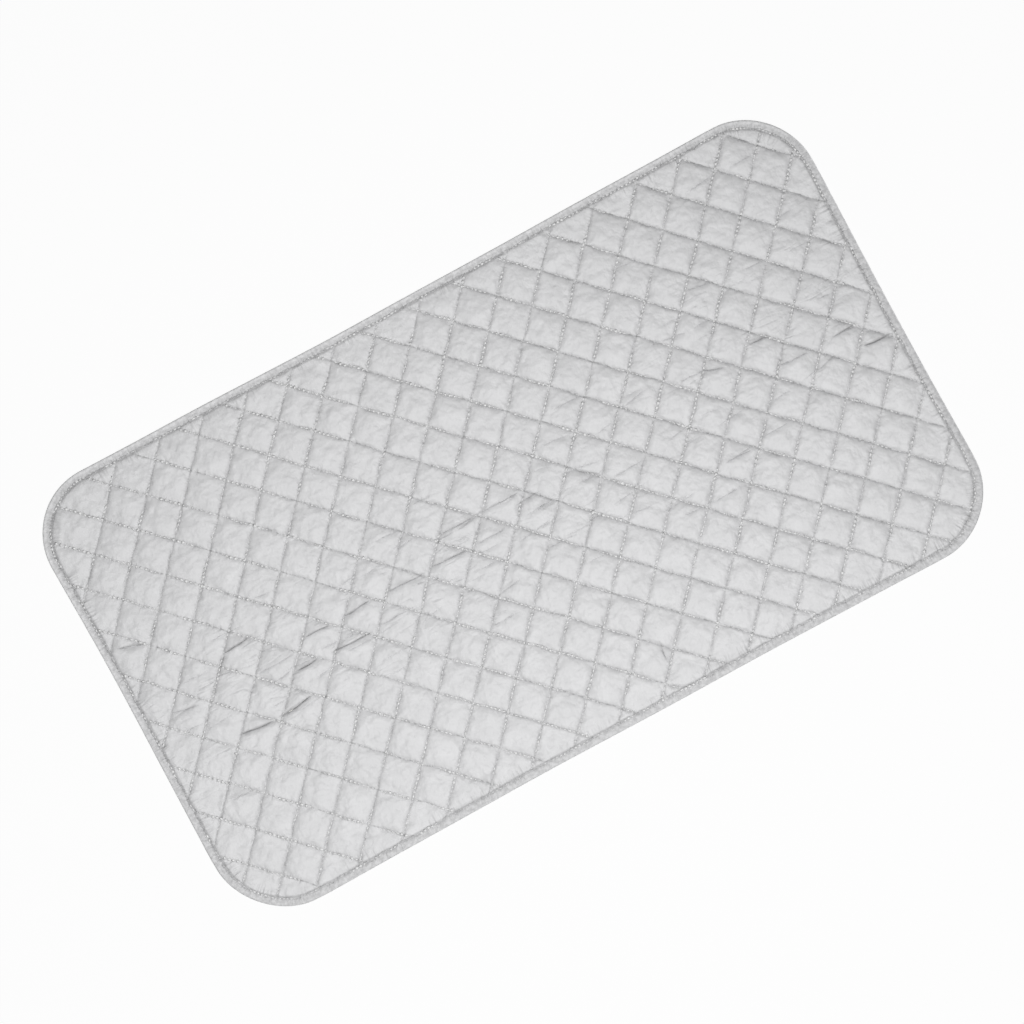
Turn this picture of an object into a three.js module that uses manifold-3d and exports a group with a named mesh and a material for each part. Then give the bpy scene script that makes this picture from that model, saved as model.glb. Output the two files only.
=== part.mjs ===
// A quilted ironing pad: a silver heat-reflecting cover, wadding and a backing cloth, sewn together by
// two families of stitch rows and bound round the edge with a folded tape. It folds in half along its
// length, so every layer is cut at the fold into a rear and a front half. Millimetres, +Z up, X along
// the long side, the origin on the table under the centre of the pad.

import * as THREE from 'three';
import { mergeVertices } from 'three/addons/utils/BufferGeometryUtils.js';
import Module from 'manifold-3d';

// Outline of the finished pad
const PAD_LENGTH = 850;
const PAD_WIDTH = 480;
const CORNER_RADIUS = 72;
const CORNER_STEPS = 8;

// Layers, as thick as they are where the edge is sewn, and the clearance between them
const COVER_THICKNESS = 0.4;
const SEWN_WADDING = 0.5;
const BACKING_THICKNESS = 0.4;
const LAYER_GAP = 0.3;

// Edge binding: a tape folded round the edge, with one seam near its inner edge
const TAPE_THICKNESS = 0.6;
const TAPE_FACE_WIDTH = 9;
const TAPE_SEAM_INSET = 1.3;
const EDGE_ROUND_STEPS = 3;

// Quilting: the direction of each family of rows in degrees from X, the distance between its rows and
// the distance of its first row from the pad's centre, then the height of a full diamond's crown
const RISING_ANGLE = 48;
const RISING_PITCH = 36;
const RISING_OFFSET = 4.6;
const FALLING_ANGLE = -44.8;
const FALLING_PITCH = 35.7;
const FALLING_OFFSET = 12.2;
const CROWN_RISE = 2.2;

// Backing: the width of the slope that brings it down from the binding to the table
const BACK_SLOPE = 6;

// Sewing thread: the falling rows are sewn last and cross a little higher than the rising ones
const THREAD_WIDTH = 0.7;
const THREAD_HEIGHT = 0.5;
const LAST_ROWS_LIFT = 0.15;

// Fold: the width of the cut between the halves, and the fold axis above the highest point
const FOLD_CUT = 0.6;
const FOLD_CLEARANCE = 0.5;

// Points closer than this are one point, and a cutter reaches this far past what it cuts
const SNAP = 0.05;
const OVERCUT = 1;

// Heights of the stack under the tape, from the table up
const BACKING_EDGE = TAPE_THICKNESS + LAYER_GAP;
const WADDING_EDGE = BACKING_EDGE + BACKING_THICKNESS + LAYER_GAP;
const WADDING_TOP = WADDING_EDGE + SEWN_WADDING;
const COVER_EDGE = WADDING_TOP + LAYER_GAP;
const COVER_TOP = COVER_EDGE + COVER_THICKNESS;
const UPPER_TAPE = COVER_TOP + LAYER_GAP;
const BINDING_TOP = UPPER_TAPE + TAPE_THICKNESS;
const SEAM_THREAD = BINDING_TOP + LAYER_GAP;
const ROW_THREAD = COVER_TOP + LAYER_GAP;
const PAD_TOP = Math.max(COVER_TOP + CROWN_RISE, SEAM_THREAD + THREAD_HEIGHT);
const FOLD_AXIS = PAD_TOP + FOLD_CLEARANCE;

// Insets of the layers' raw edge and of the tape's inner edge from the outline
const LAYER_INSET = TAPE_THICKNESS + LAYER_GAP;
const WINDOW_INSET = TAPE_FACE_WIDTH;
const FLOOR_INSET = TAPE_FACE_WIDTH + BACK_SLOPE;
const ROW_END_INSET = TAPE_FACE_WIDTH + LAYER_GAP;

// A half is the rear one at turn 0 and the front one, the same outline turned half round, at turn pi
const HALVES = [
  { name: 'rear', turn: 0, lift: 0 },
  { name: 'front', turn: Math.PI, lift: FOLD_AXIS },
];

const wasm = await Module();
wasm.setup();

// Solids and geometries

function toSolid(geometry) {
  const bare = geometry.clone();
  bare.deleteAttribute('normal');
  bare.deleteAttribute('uv');
  const merged = mergeVertices(bare);
  return new wasm.Manifold(new wasm.Mesh({
    numProp: 3,
    vertProperties: new Float32Array(merged.attributes.position.array),
    triVerts: new Uint32Array(merged.index.array),
  }));
}

function toGeometry(solid) {
  const mesh = solid.getMesh();
  const geometry = new THREE.BufferGeometry();
  geometry.setAttribute('position', new THREE.BufferAttribute(mesh.vertProperties, 3));
  geometry.setIndex(new THREE.BufferAttribute(mesh.triVerts, 1));
  return geometry;
}

function fromTriangles(triangles) {
  const geometry = new THREE.BufferGeometry();
  geometry.setFromPoints(triangles.flat());
  return mergeVertices(geometry);
}

function slab(shape, bottom, top) {
  const options = { depth: top - bottom, bevelEnabled: false, curveSegments: CORNER_STEPS / 2 };
  return toSolid(new THREE.ExtrudeGeometry(shape, options).translate(0, 0, bottom));
}

// Outlines, all drawn in from the pad's edge by an inset

function cornerArcs(path, inset, firstQuarter, quarters) {
  const x = PAD_LENGTH / 2 - CORNER_RADIUS;
  const y = PAD_WIDTH / 2 - CORNER_RADIUS;
  const centres = [[x, y], [-x, y], [-x, -y], [x, -y]];
  for (let quarter = firstQuarter; quarter < firstQuarter + quarters; quarter += 1) {
    const start = quarter * Math.PI / 2;
    path.absarc(...centres[quarter], CORNER_RADIUS - inset, start, start + Math.PI / 2);
  }
  return path;
}

function outline(inset) {
  return cornerArcs(new THREE.Shape(), inset, 0, 4);
}

// The edge of one half, anticlockwise from one end of the fold to the other
function halfEdge(inset, turn) {
  const end = PAD_LENGTH / 2 - inset;
  const path = new THREE.Path().moveTo(end, FOLD_CUT / 2).lineTo(end, PAD_WIDTH / 2 - CORNER_RADIUS);
  cornerArcs(path, inset, 0, 2).lineTo(-end, FOLD_CUT / 2);
  const centre = new THREE.Vector2();
  return path.getPoints(CORNER_STEPS / 2).map((point) => point.rotateAround(centre, turn));
}

function atHeight(points, height) {
  return points.map((point) => new THREE.Vector3(point.x, point.y, height));
}

// Triangles between two chains of points that run side by side, the right-hand one given last
function strip(left, right) {
  const triangles = [];
  let i = 0;
  let j = 0;
  while (i < left.length - 1 || j < right.length - 1) {
    const toLeft = i < left.length - 1 ? left[i + 1].distanceTo(right[j]) : Infinity;
    const toRight = j < right.length - 1 ? right[j + 1].distanceTo(left[i]) : Infinity;
    if (toLeft < toRight) {
      triangles.push([left[i], right[j], left[i + 1]]);
      i += 1;
    } else {
      triangles.push([left[i], right[j], right[j + 1]]);
      j += 1;
    }
  }
  return triangles;
}

// Quilting rows: a family of parallel lines, each a whole number of pitches from its first row

function rowFamily(angle, pitch, offset, lift) {
  const radians = THREE.MathUtils.degToRad(angle);
  const normal = new THREE.Vector2(Math.sin(radians), -Math.cos(radians));
  const reach = Math.abs(normal.x) * PAD_LENGTH / 2 + Math.abs(normal.y) * PAD_WIDTH / 2;
  return {
    radians,
    normal,
    threadHeight: ROW_THREAD + lift + THREAD_HEIGHT / 2,
    distance: (row) => offset + row * pitch,
    first: Math.floor((-reach - offset) / pitch),
    last: Math.ceil((reach - offset) / pitch),
  };
}

const RISING = rowFamily(RISING_ANGLE, RISING_PITCH, RISING_OFFSET, 0);
const FALLING = rowFamily(FALLING_ANGLE, FALLING_PITCH, FALLING_OFFSET, LAST_ROWS_LIFT);

function crossing(i, j) {
  const a = RISING.normal;
  const b = FALLING.normal;
  const p = RISING.distance(i);
  const q = FALLING.distance(j);
  const scale = 1 / a.cross(b);
  return new THREE.Vector2((p * b.y - q * a.y) * scale, (q * a.x - p * b.x) * scale);
}

// The part of a polygon that lies inside a convex region, both anticlockwise
function clip(polygon, region) {
  let kept = polygon;
  region.forEach((from, index) => {
    const edge = region[(index + 1) % region.length].clone().sub(from);
    const side = (point) => edge.cross(point.clone().sub(from));
    const next = [];
    kept.forEach((point, k) => {
      const previous = kept[(k + kept.length - 1) % kept.length];
      const here = side(point);
      const before = side(previous);
      if (here * before < 0) {
        next.push(previous.clone().lerp(point, before / (before - here)));
      }
      if (here >= 0) {
        next.push(point);
      }
    });
    kept = next;
  });
  return kept;
}

function sharedPoint(points, point) {
  const known = points.find((other) => other.distanceTo(point) < SNAP);
  if (!known) {
    points.push(point);
  }
  return known ?? point;
}

// The least distance from a point to the sides of the polygon round it
function inradius(corners, centre) {
  return Math.min(...corners.map((from, k) => {
    const along = corners[(k + 1) % corners.length].clone().sub(from).normalize();
    return Math.abs(along.cross(centre.clone().sub(from)));
  }));
}

// The diamonds of one half, cut off at the tape and at the fold, each with its crown
function quiltCells(turn) {
  const region = halfEdge(WINDOW_INSET, turn);
  const points = [...region];
  const fullRadius = Math.min(RISING_PITCH, FALLING_PITCH) / 2;
  const cells = [];
  for (let i = RISING.first; i < RISING.last; i += 1) {
    for (let j = FALLING.first; j < FALLING.last; j += 1) {
      const diamond = [crossing(i, j), crossing(i + 1, j), crossing(i + 1, j + 1), crossing(i, j + 1)];
      if (THREE.ShapeUtils.isClockWise(diamond)) {
        diamond.reverse();
      }
      const shared = clip(diamond, region).map((point) => sharedPoint(points, point));
      const corners = shared.filter((point, k) => shared.indexOf(point) === k);
      if (corners.length > 2) {
        const centre = new THREE.Vector2();
        corners.forEach((corner) => centre.addScaledVector(corner, 1 / corners.length));
        const share = Math.min(1, inradius(corners, centre) / fullRadius);
        cells.push({ corners, centre, rise: CROWN_RISE * share });
      }
    }
  }
  return cells;
}

// The sides that only one diamond has, walked from the first point of the half's edge and back to it
function cellBorder(cells, start) {
  const nextOf = new Map();
  cells.forEach(({ corners }) => corners.forEach((from, k) => {
    const to = corners[(k + 1) % corners.length];
    nextOf.set(from, (nextOf.get(from) ?? new Set()).add(to));
  }));
  const isBorder = (from, to) => !nextOf.get(to)?.has(from);
  const border = [start];
  do {
    const from = border[border.length - 1];
    border.push([...nextOf.get(from)].find((to) => isBorder(from, to)));
  } while (border[border.length - 1] !== start);
  return border;
}

// Faces of a layer: its triangles seen from above, its raw edge and its cut side at the fold

function quiltedFace(quilt, level) {
  const rim = atHeight(quilt.rim, level);
  const edge = atHeight(quilt.edge, level);
  const fold = atHeight(quilt.fold, level);
  const triangles = strip(edge, rim);
  quilt.cells.forEach(({ corners, centre, rise }) => {
    const crown = new THREE.Vector3(centre.x, centre.y, level + rise);
    const ring = atHeight(corners, level);
    ring.forEach((from, k) => triangles.push([crown, from, ring[(k + 1) % ring.length]]));
  });
  return { triangles, rim, fold: [rim[rim.length - 1], ...fold, rim[0]] };
}

function trayFace(turn, edgeLevel, floorLevel) {
  const rim = atHeight(halfEdge(LAYER_INSET, turn), edgeLevel);
  const shoulder = atHeight(halfEdge(WINDOW_INSET, turn), edgeLevel);
  const floor = atHeight(halfEdge(FLOOR_INSET, turn), floorLevel);
  const triangles = [...strip(shoulder, rim), ...strip(floor, shoulder)];
  for (let k = 1; k < floor.length - 1; k += 1) {
    triangles.push([floor[0], floor[k], floor[k + 1]]);
  }
  const ends = [rim, shoulder, floor];
  const fold = [...ends.map((chain) => chain[chain.length - 1]), ...ends.reverse().map((chain) => chain[0])];
  return { triangles, rim, fold };
}

// A closed layer between its lower and its upper face
function layer(lower, upper) {
  return fromTriangles([
    ...upper.triangles,
    ...lower.triangles.map(([a, b, c]) => [a, c, b]),
    ...strip(upper.rim, lower.rim),
    ...strip(upper.fold, lower.fold),
  ]);
}

function quiltHalf(turn) {
  const cells = quiltCells(turn);
  const region = halfEdge(WINDOW_INSET, turn);
  const start = cells.flatMap(({ corners }) => corners).find((point) => point.distanceTo(region[0]) < SNAP);
  const border = cellBorder(cells, start);
  const last = region[region.length - 1];
  const turning = border.findIndex((point) => point.distanceTo(last) < SNAP);
  return {
    cells,
    rim: halfEdge(LAYER_INSET, turn),
    edge: border.slice(0, turning + 1),
    fold: border.slice(turning),
  };
}

// Binding: a rounded rim with a pocket for the layers and a window for the quilting

function halfSpace(turn) {
  const size = 2 * PAD_LENGTH;
  const box = new THREE.BoxGeometry(size, size, size).translate(0, (size + FOLD_CUT) / 2, 0);
  return toSolid(box.rotateZ(turn));
}

function bindingRing() {
  const round = Math.min(2 * TAPE_THICKNESS, BINDING_TOP / 2 - SNAP);
  const rim = new THREE.ExtrudeGeometry(outline(round), {
    depth: BINDING_TOP - 2 * round,
    bevelSize: round,
    bevelThickness: round,
    bevelSegments: EDGE_ROUND_STEPS,
    curveSegments: CORNER_STEPS / 2,
  }).translate(0, 0, round);
  const pocket = slab(outline(TAPE_THICKNESS), TAPE_THICKNESS, UPPER_TAPE);
  const window = slab(outline(WINDOW_INSET), -OVERCUT, BINDING_TOP + OVERCUT);
  return toSolid(rim).subtract(pocket).subtract(window);
}

// Threads

function bindingSeam() {
  const inset = TAPE_FACE_WIDTH - TAPE_SEAM_INSET;
  const top = SEAM_THREAD + THREAD_HEIGHT;
  const outer = slab(outline(inset - THREAD_WIDTH / 2), SEAM_THREAD, top);
  const inner = slab(outline(inset + THREAD_WIDTH / 2), SEAM_THREAD - OVERCUT, top + OVERCUT);
  return outer.subtract(inner);
}

// A row's ends, where its line crosses the edge of a region, or null where it misses or is too short
function rowEnds(family, row, region, shortest) {
  const offset = family.distance(row);
  const hits = [];
  region.forEach((from, index) => {
    const to = region[(index + 1) % region.length];
    const a = family.normal.dot(from) - offset;
    const b = family.normal.dot(to) - offset;
    if (a * b < 0) {
      hits.push(from.clone().lerp(to, a / (a - b)));
    }
  });
  return hits.length === 2 && hits[0].distanceTo(hits[1]) > shortest ? hits : null;
}

function rowThread(family, ends) {
  const length = ends[0].distanceTo(ends[1]) + 2 * OVERCUT;
  const middle = ends[0].clone().lerp(ends[1], 0.5);
  const bar = new THREE.BoxGeometry(length, THREAD_WIDTH, THREAD_HEIGHT);
  return toSolid(bar.rotateZ(family.radians).translate(middle.x, middle.y, family.threadHeight));
}

// The rows of one half, joined where they cross. A row too short to cross another is left out.
function threadNet(turn) {
  const region = halfEdge(ROW_END_INSET, turn);
  const slant = Math.abs(Math.sin(RISING.radians - FALLING.radians));
  const families = [
    { family: RISING, shortest: FALLING_PITCH / slant },
    { family: FALLING, shortest: RISING_PITCH / slant },
  ];
  let net = null;
  families.forEach(({ family, shortest }) => {
    for (let row = family.first; row <= family.last; row += 1) {
      const ends = rowEnds(family, row, region, shortest);
      if (ends) {
        const thread = rowThread(family, ends);
        net = net ? net.add(thread) : thread;
      }
    }
  });
  const top = ROW_THREAD + LAST_ROWS_LIFT + THREAD_HEIGHT;
  return net.intersect(slab(new THREE.Shape(region), ROW_THREAD - OVERCUT, top + OVERCUT));
}

// Assembly: the front half hangs on the fold axis, so turning its group about X folds the pad

function finish(color, roughness, metalness) {
  return new THREE.MeshStandardMaterial({ color, roughness, metalness });
}

const pad = new THREE.Group();
pad.name = 'ironing_pad';
const binding = bindingRing();
const seam = bindingSeam();

HALVES.forEach(({ name, turn, lift }) => {
  const half = new THREE.Group();
  half.name = `${name}_half`;
  half.position.z = lift;
  const quilt = quiltHalf(turn);
  const space = halfSpace(turn);
  const addPiece = (piece, geometry, material) => {
    const mesh = new THREE.Mesh(geometry.translate(0, 0, -lift), material);
    mesh.name = `${piece}_${name}`;
    half.add(mesh);
  };
  const backingLower = trayFace(turn, BACKING_EDGE, 0);
  const backingUpper = trayFace(turn, BACKING_EDGE + BACKING_THICKNESS, BACKING_THICKNESS);
  const waddingLower = trayFace(turn, WADDING_EDGE, BACKING_THICKNESS + LAYER_GAP);
  const cover = layer(quiltedFace(quilt, COVER_EDGE), quiltedFace(quilt, COVER_TOP));
  addPiece('cover', cover, finish('#cfd0d1', 0.55, 0.35));
  addPiece('wadding', layer(waddingLower, quiltedFace(quilt, WADDING_TOP)), finish('#f3f2ee', 0.95, 0));
  addPiece('backing', layer(backingLower, backingUpper), finish('#c9c9c8', 0.9, 0));
  addPiece('binding', toGeometry(binding.intersect(space)), finish('#c6c7c8', 0.75, 0.1));
  addPiece('quilting_thread', toGeometry(threadNet(turn)), finish('#e2e2e0', 0.7, 0));
  addPiece('binding_thread', toGeometry(seam.intersect(space)), finish('#e2e2e0', 0.7, 0));
  pad.add(half);
});

export default pad;
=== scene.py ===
# %% [markdown]
# # A quilted ironing pad, made soft
# The real pad is a silver cover, a sheet of wadding and a backing, sewn together along two families of
# straight rows and bound round the edge with tape. The CAD frame already holds each layer in its place,
# so this script makes the layers soft: the cover swells between its rows, the tape puckers along its
# seam, and each stitch is a small bead of thread. All lengths are metres, in the frame of the CAD model.

# %% Open the frame
import math
import random

import bmesh
import bpy
from mathutils import Matrix, Vector, noise
from mathutils.bvhtree import BVHTree
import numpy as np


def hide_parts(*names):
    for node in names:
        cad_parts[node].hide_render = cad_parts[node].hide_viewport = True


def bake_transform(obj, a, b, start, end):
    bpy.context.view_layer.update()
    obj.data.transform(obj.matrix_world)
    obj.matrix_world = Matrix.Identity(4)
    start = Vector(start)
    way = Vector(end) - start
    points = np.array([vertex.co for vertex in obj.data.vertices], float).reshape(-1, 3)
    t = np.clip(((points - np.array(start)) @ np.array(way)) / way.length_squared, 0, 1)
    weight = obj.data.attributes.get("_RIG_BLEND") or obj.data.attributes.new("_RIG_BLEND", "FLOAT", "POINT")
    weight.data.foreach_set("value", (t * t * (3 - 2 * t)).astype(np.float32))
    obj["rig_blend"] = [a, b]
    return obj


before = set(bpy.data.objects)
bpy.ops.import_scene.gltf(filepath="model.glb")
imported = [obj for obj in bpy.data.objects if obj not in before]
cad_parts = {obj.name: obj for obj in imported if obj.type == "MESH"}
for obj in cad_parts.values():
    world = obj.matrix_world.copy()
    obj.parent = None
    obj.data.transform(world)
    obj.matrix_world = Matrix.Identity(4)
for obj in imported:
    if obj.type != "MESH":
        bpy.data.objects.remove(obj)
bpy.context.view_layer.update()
scene = bpy.context.scene
MM = 0.001

# %% [markdown]
# ## The camera
# The photograph looks straight down at the pad from far off, so nothing gets smaller with distance. An
# orthographic camera does the same. It is turned about its line of sight, because the pad lies
# slantwise in the picture, and its scale is the width of floor that the square picture spans.

# %% Camera above the pad
PICTURE_SPAN = 1.009
PICTURE_TURN = math.radians(-28.5)
PICTURE_CENTRE = (-0.9 * MM, 2.4 * MM)
CAMERA_HEIGHT = 2.0

camera = bpy.data.objects.new("camera", bpy.data.cameras.new("camera"))
scene.collection.objects.link(camera)
camera.data.type = "ORTHO"
camera.data.ortho_scale = PICTURE_SPAN
camera.location = (*PICTURE_CENTRE, CAMERA_HEIGHT)
camera.rotation_euler = (0.0, 0.0, PICTURE_TURN)
scene.camera = camera
print("camera spans", PICTURE_SPAN, "m")

# %% [markdown]
# ## The drawing of the pad
# Two numbers place a point on the quilting: how many rising rows and how many falling rows lie behind
# it. Where a number is whole, the point is on a row of stitches. The sizes are those of the CAD model.
# A used pad is never quite as drawn: its rows wander by a millimetre, its edges draw in between the
# corners, and no two corners are cut alike. Every piece is made on the neat drawing and is then settled
# by the same small shift, so the layers still fit each other.

# %% Sizes, rows and edge
LENGTH, WIDTH, CORNER = 850 * MM, 480 * MM, 72 * MM
RISING_ANGLE, RISING_PITCH, RISING_OFFSET = math.radians(48), 36 * MM, 4.6 * MM
FALLING_ANGLE, FALLING_PITCH, FALLING_OFFSET = math.radians(-44.8), 35.7 * MM, 12.2 * MM
ROW_NORMALS = Matrix((
    (math.sin(RISING_ANGLE), -math.cos(RISING_ANGLE)),
    (math.sin(FALLING_ANGLE), -math.cos(FALLING_ANGLE)),
))
FROM_ROWS = ROW_NORMALS.inverted()


def on_pad(rising, falling):
    """The place on the pad that two row numbers give."""
    across = (RISING_OFFSET + RISING_PITCH * rising, FALLING_OFFSET + FALLING_PITCH * falling)
    return FROM_ROWS @ Vector(across)


def inset(x, y):
    """How far inside the pad's edge a point lies."""
    past_x = abs(x) - (LENGTH / 2 - CORNER)
    past_y = abs(y) - (WIDTH / 2 - CORNER)
    if past_x > 0 and past_y > 0:
        return CORNER - math.hypot(past_x, past_y)
    return CORNER - max(past_x, past_y)


def eased(value, low, high):
    """0 below low, 1 above high and a smooth step between."""
    share = min(1.0, max(0.0, (value - low) / (high - low)))
    return share * share * (3 - 2 * share)


print("a diamond is", round(RISING_PITCH / MM), "by", round(FALLING_PITCH / MM), "mm")

# %% How a used pad settles
noise.seed_set(7)
WANDER, WANDER_LENGTH = 1.0 * MM, 140 * MM
WOBBLE, WOBBLE_LENGTH = 1.1 * MM, 15 * MM
SIDE_DRAWN_IN, CORNER_SPREAD = -1.2 * MM, 2.2 * MM
CORNERS_TUCKED = {  # by whether the corner is on the right, and whether it is at the rear
    (True, True): 1.8 * MM, (False, True): 0.0,
    (False, False): 3.4 * MM, (True, False): 1.6 * MM,
}
CORNER_FROM, CORNER_TO = 95 * MM, 20 * MM
TUCKED_TO, STILL_FROM = 8 * MM, 50 * MM
WOBBLES_FROM = 30 * MM


def settled(x, y):
    """Where a point of the neat drawing lies on the used pad."""
    shift = noise.noise_vector(Vector((x, y, 0.3)) / WANDER_LENGTH) * WANDER
    in_corner = eased(abs(x), LENGTH / 2 - CORNER_FROM, LENGTH / 2 - CORNER_TO)
    in_corner *= eased(abs(y), WIDTH / 2 - CORNER_FROM, WIDTH / 2 - CORNER_TO)
    tucked = CORNERS_TUCKED[x > 0, y > 0] * in_corner
    tucked *= 1 - eased(inset(x, y), TUCKED_TO, STILL_FROM)
    shift -= Vector((math.copysign(tucked, x), math.copysign(tucked, y), 0))
    wobble = noise.noise_vector(Vector((x, y, 0.8)) / WOBBLE_LENGTH) * WOBBLE
    shift += wobble * eased(inset(x, y), 0.0, WOBBLES_FROM)
    bow_x = SIDE_DRAWN_IN + (CORNER_SPREAD - SIDE_DRAWN_IN) * (2 * y / WIDTH) ** 2
    bow_y = SIDE_DRAWN_IN + (CORNER_SPREAD - SIDE_DRAWN_IN) * (2 * x / LENGTH) ** 2
    return x * (1 + 2 * bow_x / LENGTH) + shift.x, y * (1 + 2 * bow_y / WIDTH) + shift.y


def settle(bm):
    """Shifts every point of a neat piece to its place on the used pad."""
    for v in bm.verts:
        v.co.x, v.co.y = settled(v.co.x, v.co.y)


by_corner = Vector((0.4, 0.2))
moved = Vector(settled(*by_corner)) - by_corner
print("a corner settles by", [round(step / MM, 2) for step in moved], "mm")

# %% [markdown]
# ## A sheet cut to the rows
# Cover, wadding and backing start alike. A grid is drawn in row numbers, so that its lines follow the
# stitches, and is crowded towards the rows, where the cloth turns sharply. It is then put on the pad
# and cut to the rounded outline with planes, as scissors would cut it. The row numbers stay with the
# points, in two layers that the cuts and later subdivisions carry along.

# %% Planes round the outline
CORNER_CUTS = 10


def outline_planes(raw_edge):
    """A point and an outward direction for each cut round the outline."""
    for side in (Vector((1, 0, 0)), Vector((-1, 0, 0)), Vector((0, 1, 0)), Vector((0, -1, 0))):
        reach = LENGTH / 2 if side.x else WIDTH / 2
        yield side * (reach - raw_edge), side
    for quarter in range(4):
        for cut in range(CORNER_CUTS):
            turn = math.radians(90) * (quarter + (cut + 0.5) / CORNER_CUTS)
            out = Vector((math.cos(turn), math.sin(turn), 0))
            centre = Vector((math.copysign(LENGTH / 2 - CORNER, out.x),
                             math.copysign(WIDTH / 2 - CORNER, out.y), 0))
            yield centre + out * (CORNER - raw_edge), out


print("the outline takes", len(list(outline_planes(0.0))), "cuts")

# %% Cut a quilted sheet
ROWS_OUT = 13
FIRST_RISING = -11
CROWDING = 0.135
RAW_EDGE = 0.9 * MM
COVER_STEPS = 7


def quilted_sheet(steps):
    """A flat sheet whose grid follows the rows, with so many steps across a diamond."""
    bm = bmesh.new()
    segments = 2 * ROWS_OUT * steps
    bmesh.ops.create_grid(bm, x_segments=segments, y_segments=segments, size=ROWS_OUT)
    rising = bm.verts.layers.float.new("rising")
    falling = bm.verts.layers.float.new("falling")
    for v in bm.verts:
        v[rising] = v.co.x - CROWDING * math.sin(2 * math.pi * v.co.x)
        v[falling] = v.co.y - CROWDING * math.sin(2 * math.pi * v.co.y)
        v.co.xy = on_pad(v[rising], v[falling])
    for point, out in outline_planes(RAW_EDGE):
        everything = bm.verts[:] + bm.edges[:] + bm.faces[:]
        bmesh.ops.bisect_plane(bm, geom=everything, dist=1e-6, plane_co=point, plane_no=out,
                               clear_outer=True)
    bm.normal_update()
    if bm.faces[:][0].normal.z < 0:
        bmesh.ops.reverse_faces(bm, faces=bm.faces)
    return bm


def row_distance(v, rising, falling):
    """How far a point lies from the nearest row of each family."""
    return (abs(v[rising] - max(FIRST_RISING, round(v[rising]))) * RISING_PITCH,
            abs(v[falling] - round(v[falling])) * FALLING_PITCH)


bm = quilted_sheet(COVER_STEPS)
print("cover grid:", len(bm.verts), "points")

# %% [markdown]
# ## The cover swells
# The cover is held down along every row and under the tape, and the wadding pushes it up between. The
# cloth solver does just that: the row points are pinned, the cloth is given one part in a hundred of
# slack, and a light pressure lifts it.

# %% Cover laid over the rows
ROW_HEIGHT, CROWN_RISE = 2.9 * MM, 2.0 * MM
FIRST_RISE = 0.4
ARCH_REACH = 0.45 * RISING_PITCH
EDGE_MIDDLE = 1.85 * MM
TAPE_FACE = 8.6 * MM
PINNED_WITHIN = 0.05 * MM


def new_piece(name, bm):
    """Puts a finished bmesh into the scene as an object at the origin."""
    mesh = bpy.data.meshes.new(name)
    bm.to_mesh(mesh)
    bm.free()
    for face in mesh.polygons:
        face.use_smooth = True
    piece = bpy.data.objects.new(name, mesh)
    scene.collection.objects.link(piece)
    return piece


rising, falling = bm.verts.layers.float["rising"], bm.verts.layers.float["falling"]
bm.verts.index_update()
pinned = []
for v in bm.verts:
    depth = inset(v.co.x, v.co.y)
    nearest = min(*row_distance(v, rising, falling), max(0.0, depth - TAPE_FACE - 1 * MM))
    if nearest < PINNED_WITHIN:
        pinned.append(v.index)
    arch = 1 - (1 - min(1.0, nearest / ARCH_REACH)) ** 2
    v.co.z = ROW_HEIGHT + CROWN_RISE * arch * FIRST_RISE
cover = new_piece("cover", bm)
print("cover held at", len(pinned), "points")

# %% Swell the cover
SLACK = -0.014
SWELL_FRAMES = 20

cover.vertex_groups.new(name="sewn").add(pinned, 1.0, "REPLACE")
cloth = cover.modifiers.new("swell", "CLOTH")
cloth.settings.quality = 4
cloth.settings.mass = 0.05
cloth.settings.tension_stiffness = 20
cloth.settings.compression_stiffness = 20
cloth.settings.shear_stiffness = 10
cloth.settings.bending_stiffness = 0.05
cloth.settings.vertex_group_mass = "sewn"
cloth.settings.shrink_min = SLACK
cloth.settings.use_pressure = True
cloth.settings.uniform_pressure_force = 1.0
cloth.settings.effector_weights.gravity = 0.0
cloth.collision_settings.use_collision = False
for step in range(1, SWELL_FRAMES + 1):
    scene.frame_set(step)
cover.modifiers.new("soften", "SUBSURF").levels = 1
soft = cover.evaluated_get(bpy.context.evaluated_depsgraph_get())
cover_mesh = bpy.data.meshes.new_from_object(soft)
cover.modifiers.clear()
cover.vertex_groups.clear()
cover.data = cover_mesh
scene.frame_set(1)
print("cover crowns at", round(max(v.co.z for v in cover.data.vertices) / MM, 2), "mm")

# %% [markdown]
# ## Rows pulled in, and creases
# Each row is a furrow, because the thread pulls the cover down into the wadding. Where the thread lies
# deep, the cloth closes over it and the furrow is narrow; where it shows, the furrow is wider. The pad
# was folded for sale, so creases run along it, most of them near the fold. A crease is far narrower
# than the grid, so the cloth is first cut along the crease with a few planes, and the new points then
# make a sharp valley with a ridge beside it.

# %% How far a row is drawn in
OPEN_SHARE, OPEN_LENGTH = 0.42, 20 * MM
OPEN_TO_RIGHT = {"rising": 0.3, "falling": -0.45}
OPEN_LAYER = {"rising": 0.1, "falling": 0.2}
PULL, PULL_LENGTH = {"rising": 0.7, "falling": 0.75}, 13 * MM
PULL_TO_RIGHT = {"rising": 0.0, "falling": 0.65}
PULL_LAYER = {"rising": 0.4, "falling": 0.6}
GROOVE_DEPTH, TROUGH_DEPTH, TROUGH_REACH = 1.3, 0.7, 4.5 * MM
FURROW_FLOOR, TAPE_LIFT = 0.8 * MM, 1.1 * MM


def thread_shows(family, x, y):
    """From 0, where the cloth closes over a row's thread, to 1, where the thread lies open."""
    lean = OPEN_TO_RIGHT[family] * x / (LENGTH / 2)
    patch = noise.noise(Vector((x, y, OPEN_LAYER[family])) / OPEN_LENGTH)
    return min(1.0, max(0.0, OPEN_SHARE + lean + 1.9 * patch))


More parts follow.
